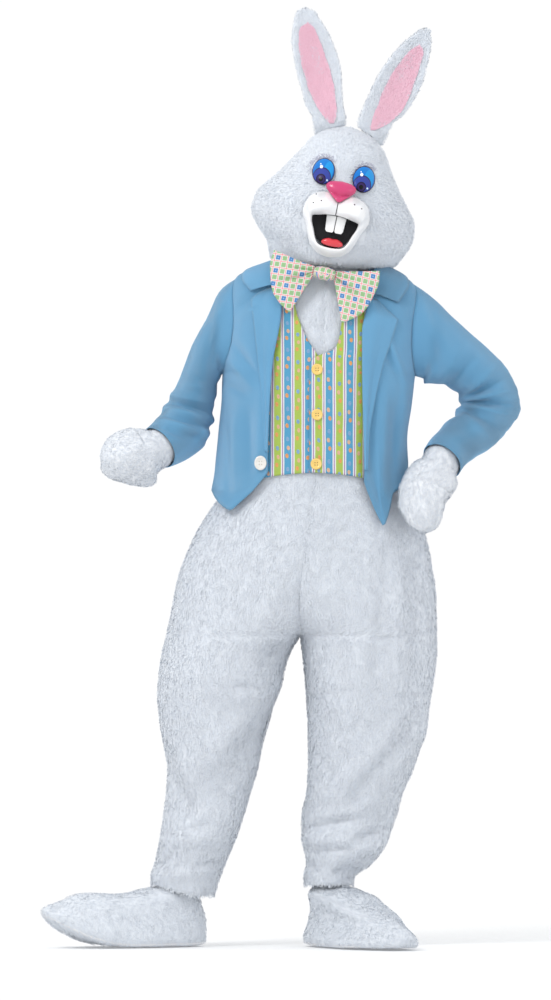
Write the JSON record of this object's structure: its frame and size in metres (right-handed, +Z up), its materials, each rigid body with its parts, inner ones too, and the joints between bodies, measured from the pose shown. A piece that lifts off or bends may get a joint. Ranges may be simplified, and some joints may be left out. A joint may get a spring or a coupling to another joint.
{
  "type": "rabbit mascot costume",
  "caption": "White fur rabbit costume worn standing: jumpsuit, head with upright ears, mitts and foot covers, with a blue tailcoat jacket, striped waistcoat and plaid bow tie.",
  "frame": {"origin": "base of the neck between the shoulders, where the costume hangs on its wearer", "axes": "+Z up, -Y to the front, +X to the wearer's left"},
  "size_m": [1.0517, 0.4253, 2.061],
  "materials": {
    "white_fur": "long white pile on a knitted ground",
    "pink_plush": "short pink pile",
    "blue_twill": "light blue twill",
    "striped_cotton": "printed stripes in green, blue and white",
    "plaid_cotton": "printed checks in green, blue, white and pink",
    "yellow_plastic": "glossy yellow",
    "shell_plastic": "pearly white",
    "white_plastic": "glossy white",
    "pink_plastic": "glossy magenta pink",
    "red_plastic": "glossy red",
    "blue_plastic": "glossy, with iris and pupil",
    "black_net": "black see-through net"
  },
  "bodies": {
    "root": {"suit_front_right": "white_fur", "suit_front_left": "white_fur", "suit_back_right": "white_fur", "suit_back_left": "white_fur", "suit_sleeve_right": "white_fur", "suit_sleeve_left": "white_fur", "head_shell": "white_fur", "ear_right": "white_fur", "ear_left": "white_fur", "mitt_right": "white_fur", "mitt_left": "white_fur", "foot_cover_right": "white_fur", "foot_cover_left": "white_fur", "ear_lining_right": "pink_plush", "ear_lining_left": "pink_plush", "jacket_front_right": "blue_twill", "jacket_front_left": "blue_twill", "jacket_back": "blue_twill", "jacket_sleeve_right": "blue_twill", "jacket_sleeve_left": "blue_twill", "jacket_lapel_right": "blue_twill", "jacket_lapel_left": "blue_twill", "jacket_collar": "blue_twill", "vest_front_right": "striped_cotton", "vest_front_left": "striped_cotton", "bow_wing_right": "plaid_cotton", "bow_wing_left": "plaid_cotton", "bow_knot": "plaid_cotton", "bow_band": "plaid_cotton", "vest_button_1": "yellow_plastic", "vest_button_2": "yellow_plastic", "vest_button_3": "yellow_plastic", "jacket_button": "shell_plastic", "muzzle": "white_plastic", "teeth": "white_plastic", "nose": "pink_plastic", "tongue": "red_plastic", "eye_right": "blue_plastic", "eye_left": "blue_plastic", "mouth_screen": "black_net"}
  },
  "joints": []
}
